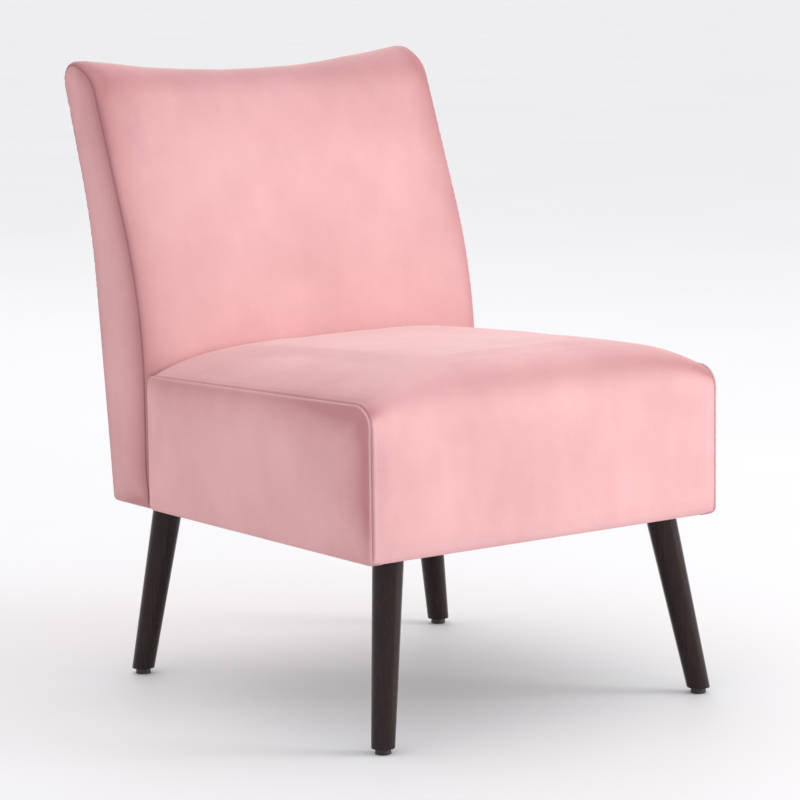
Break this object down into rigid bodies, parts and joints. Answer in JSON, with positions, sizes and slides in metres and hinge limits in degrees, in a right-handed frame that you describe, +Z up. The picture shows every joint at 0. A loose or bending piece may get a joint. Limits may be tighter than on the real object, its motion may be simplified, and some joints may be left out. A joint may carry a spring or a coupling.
{
  "type": "armless upholstered accent chair",
  "caption": "Armless upholstered accent chair with a crowned seat, a raked back with a dipped top edge, splayed tapered wood legs and levelling glides.",
  "frame": {"origin": "on the floor, under the middle of the chair's bounding box", "axes": "+Z up; the chair faces -Y, its back rises at +Y; +X is to the right of a viewer who stands in front of the chair"},
  "size_m": [0.56, 0.7072, 0.832],
  "materials": {
    "velvet": "short-pile velvet, soft sheen",
    "foam": "open-cell polyurethane foam",
    "wadding": "polyester fibre wadding",
    "frame_wood": "sawn, unfinished",
    "board": "pressed fibreboard",
    "dust_cloth": "non-woven polypropylene",
    "webbing": "woven elastic webbing",
    "spring_steel": "drawn spring wire",
    "bolt_steel": "zinc plated",
    "leg_wood": "espresso stain, semi-gloss lacquer",
    "glide_plastic": "moulded nylon"
  },
  "bodies": {
    "chair": {"back_board": "board", "back_cover_front": "velvet", "back_cover_left": "velvet", "back_cover_rear": "velvet", "back_cover_right": "velvet", "back_foam": "foam", "back_frame_screws": "bolt_steel", "back_leg_block_left": "frame_wood", "back_leg_block_right": "frame_wood", "back_lower_front_rail": "frame_wood", "back_lower_rear_rail": "frame_wood", "back_middle_rail": "frame_wood", "back_post_left": "frame_wood", "back_post_right": "frame_wood", "back_side_pad_left": "wadding", "back_side_pad_right": "wadding", "back_straps": "webbing", "back_top_foam": "foam", "back_top_rail": "frame_wood", "corner_block_front_left": "frame_wood", "corner_block_front_right": "frame_wood", "corner_block_rear_left": "frame_wood", "corner_block_rear_right": "frame_wood", "hanger_bolts": "bolt_steel", "joining_bolts": "bolt_steel", "joining_washers": "bolt_steel", "leg_front_left": "leg_wood", "leg_front_right": "leg_wood", "leg_inserts": "bolt_steel", "leg_rear_left": "leg_wood", "leg_rear_right": "leg_wood", "seat_cover_left": "velvet", "seat_cover_right": "velvet", "seat_cover_top": "velvet", "seat_dust_cover": "dust_cloth", "seat_foam": "foam", "seat_frame_screws": "bolt_steel", "seat_front_pad": "wadding", "seat_front_rail": "frame_wood", "seat_rail_left": "frame_wood", "seat_rail_right": "frame_wood", "seat_rear_rail": "frame_wood", "seat_side_pad_left": "wadding", "seat_side_pad_right": "wadding", "seat_spring_1": "spring_steel", "seat_spring_2": "spring_steel", "seat_spring_3": "spring_steel", "seat_spring_4": "spring_steel", "spring_clips": "spring_steel", "spring_pad": "wadding", "t_nuts": "bolt_steel"},
    "pad_front_left": {"glide_pad_front_left": "glide_plastic"},
    "pad_front_right": {"glide_pad_front_right": "glide_plastic"},
    "pad_rear_left": {"glide_pad_rear_left": "glide_plastic"},
    "pad_rear_right": {"glide_pad_rear_right": "glide_plastic"},
    "stud_front_left": {"glide_stud_front_left": "bolt_steel"},
    "stud_front_right": {"glide_stud_front_right": "bolt_steel"},
    "stud_rear_left": {"glide_stud_rear_left": "bolt_steel"},
    "stud_rear_right": {"glide_stud_rear_right": "bolt_steel"}
  },
  "joints": [
    {"name": "level_front_left", "type": "slide", "parent": "chair", "child": "pad_front_left", "axis": [0, 0, -1], "range_m": [0, 0.01]},
    {"name": "turn_front_left", "type": "hinge", "parent": "pad_front_left", "child": "stud_front_left", "pos_m": [-0.258, -0.3385, 0.003], "axis": [0, 0, -1], "range_deg": [0, 2881]},
    {"name": "level_front_right", "type": "slide", "parent": "chair", "child": "pad_front_right", "axis": [0, 0, -1], "range_m": [0, 0.01]},
    {"name": "turn_front_right", "type": "hinge", "parent": "pad_front_right", "child": "stud_front_right", "pos_m": [0.258, -0.3385, 0.003], "axis": [0, 0, -1], "range_deg": [0, 2881]},
    {"name": "level_rear_left", "type": "slide", "parent": "chair", "child": "pad_rear_left", "axis": [0, 0, -1], "range_m": [0, 0.01]},
    {"name": "turn_rear_left", "type": "hinge", "parent": "pad_rear_left", "child": "stud_rear_left", "pos_m": [-0.252, 0.2255, 0.003], "axis": [0, 0, -1], "range_deg": [0, 2881]},
    {"name": "level_rear_right", "type": "slide", "parent": "chair", "child": "pad_rear_right", "axis": [0, 0, -1], "range_m": [0, 0.01]},
    {"name": "turn_rear_right", "type": "hinge", "parent": "pad_rear_right", "child": "stud_rear_right", "pos_m": [0.252, 0.2255, 0.003], "axis": [0, 0, -1], "range_deg": [0, 2881]}
  ],
  "couplings": [
    {"joint": "turn_front_left", "follows": "level_front_left", "rad_per_m": 5026.5},
    {"joint": "turn_front_right", "follows": "level_front_right", "rad_per_m": 5026.5},
    {"joint": "turn_rear_left", "follows": "level_rear_left", "rad_per_m": 5026.5},
    {"joint": "turn_rear_right", "follows": "level_rear_right", "rad_per_m": 5026.5}
  ]
}
